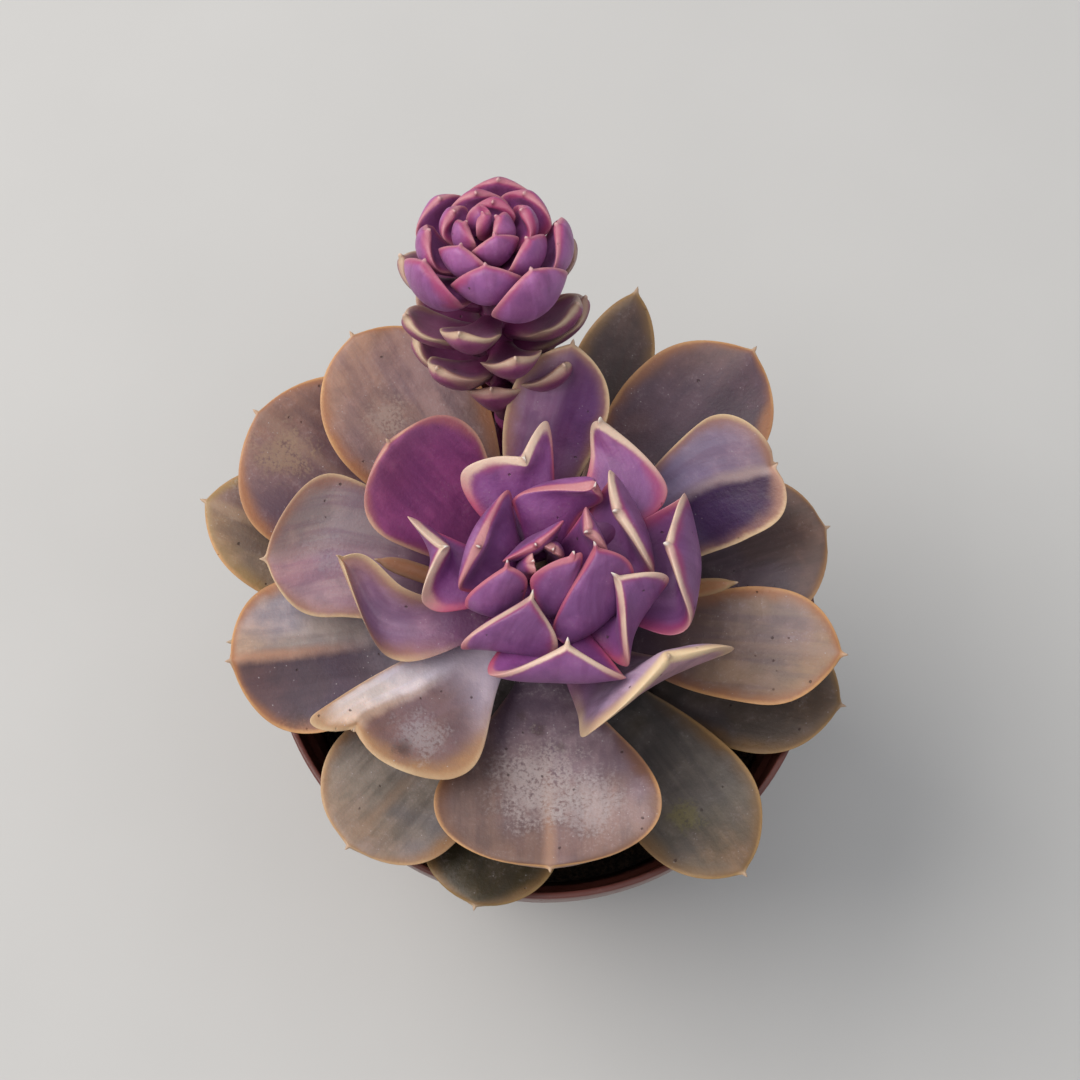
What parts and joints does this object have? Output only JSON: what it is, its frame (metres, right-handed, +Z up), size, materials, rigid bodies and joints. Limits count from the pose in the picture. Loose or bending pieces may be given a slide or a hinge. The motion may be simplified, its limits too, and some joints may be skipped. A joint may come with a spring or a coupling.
{
  "type": "potted echeveria",
  "caption": "Purple rosette succulent with thick pale-edged leaves and a small leafy side shoot, standing in soil in a round brown plastic nursery pot.",
  "frame": {"origin": "centre of the pot's flat underside, on the surface it stands on", "axes": "+Z up along the pot's axis and the main stem, -Y towards the front of the picture, +X to its right"},
  "size_m": [0.1225, 0.1267, 0.1529],
  "materials": {
    "pot_plastic": "satin",
    "soil_dark": "matte",
    "stem_bark": "matte",
    "leaf_outer": "matte",
    "leaf_lilac": "matte",
    "leaf_green": "matte",
    "leaf_heart": "satin",
    "leaf_shoot": "satin"
  },
  "bodies": {
    "root": {"pot": "pot_plastic", "soil": "soil_dark", "stem": "stem_bark", "leaf_01": "leaf_outer", "leaf_02": "leaf_outer", "leaf_03": "leaf_outer", "leaf_05": "leaf_outer", "leaf_08": "leaf_outer", "leaf_13": "leaf_outer", "leaf_16": "leaf_outer", "leaf_33": "leaf_outer", "leaf_37": "leaf_outer", "leaf_39": "leaf_outer", "leaf_06": "leaf_lilac", "leaf_07": "leaf_lilac", "leaf_11": "leaf_lilac", "leaf_14": "leaf_lilac", "leaf_21": "leaf_lilac", "leaf_34": "leaf_lilac", "leaf_04": "leaf_green", "leaf_12": "leaf_green", "leaf_15": "leaf_green", "leaf_35": "leaf_green", "leaf_36": "leaf_green", "leaf_38": "leaf_green", "leaf_40": "leaf_green", "leaf_09": "leaf_heart", "heart": "leaf_heart", "shoot_stem": "leaf_shoot", "shoot_head": "leaf_shoot"}
  },
  "joints": []
}
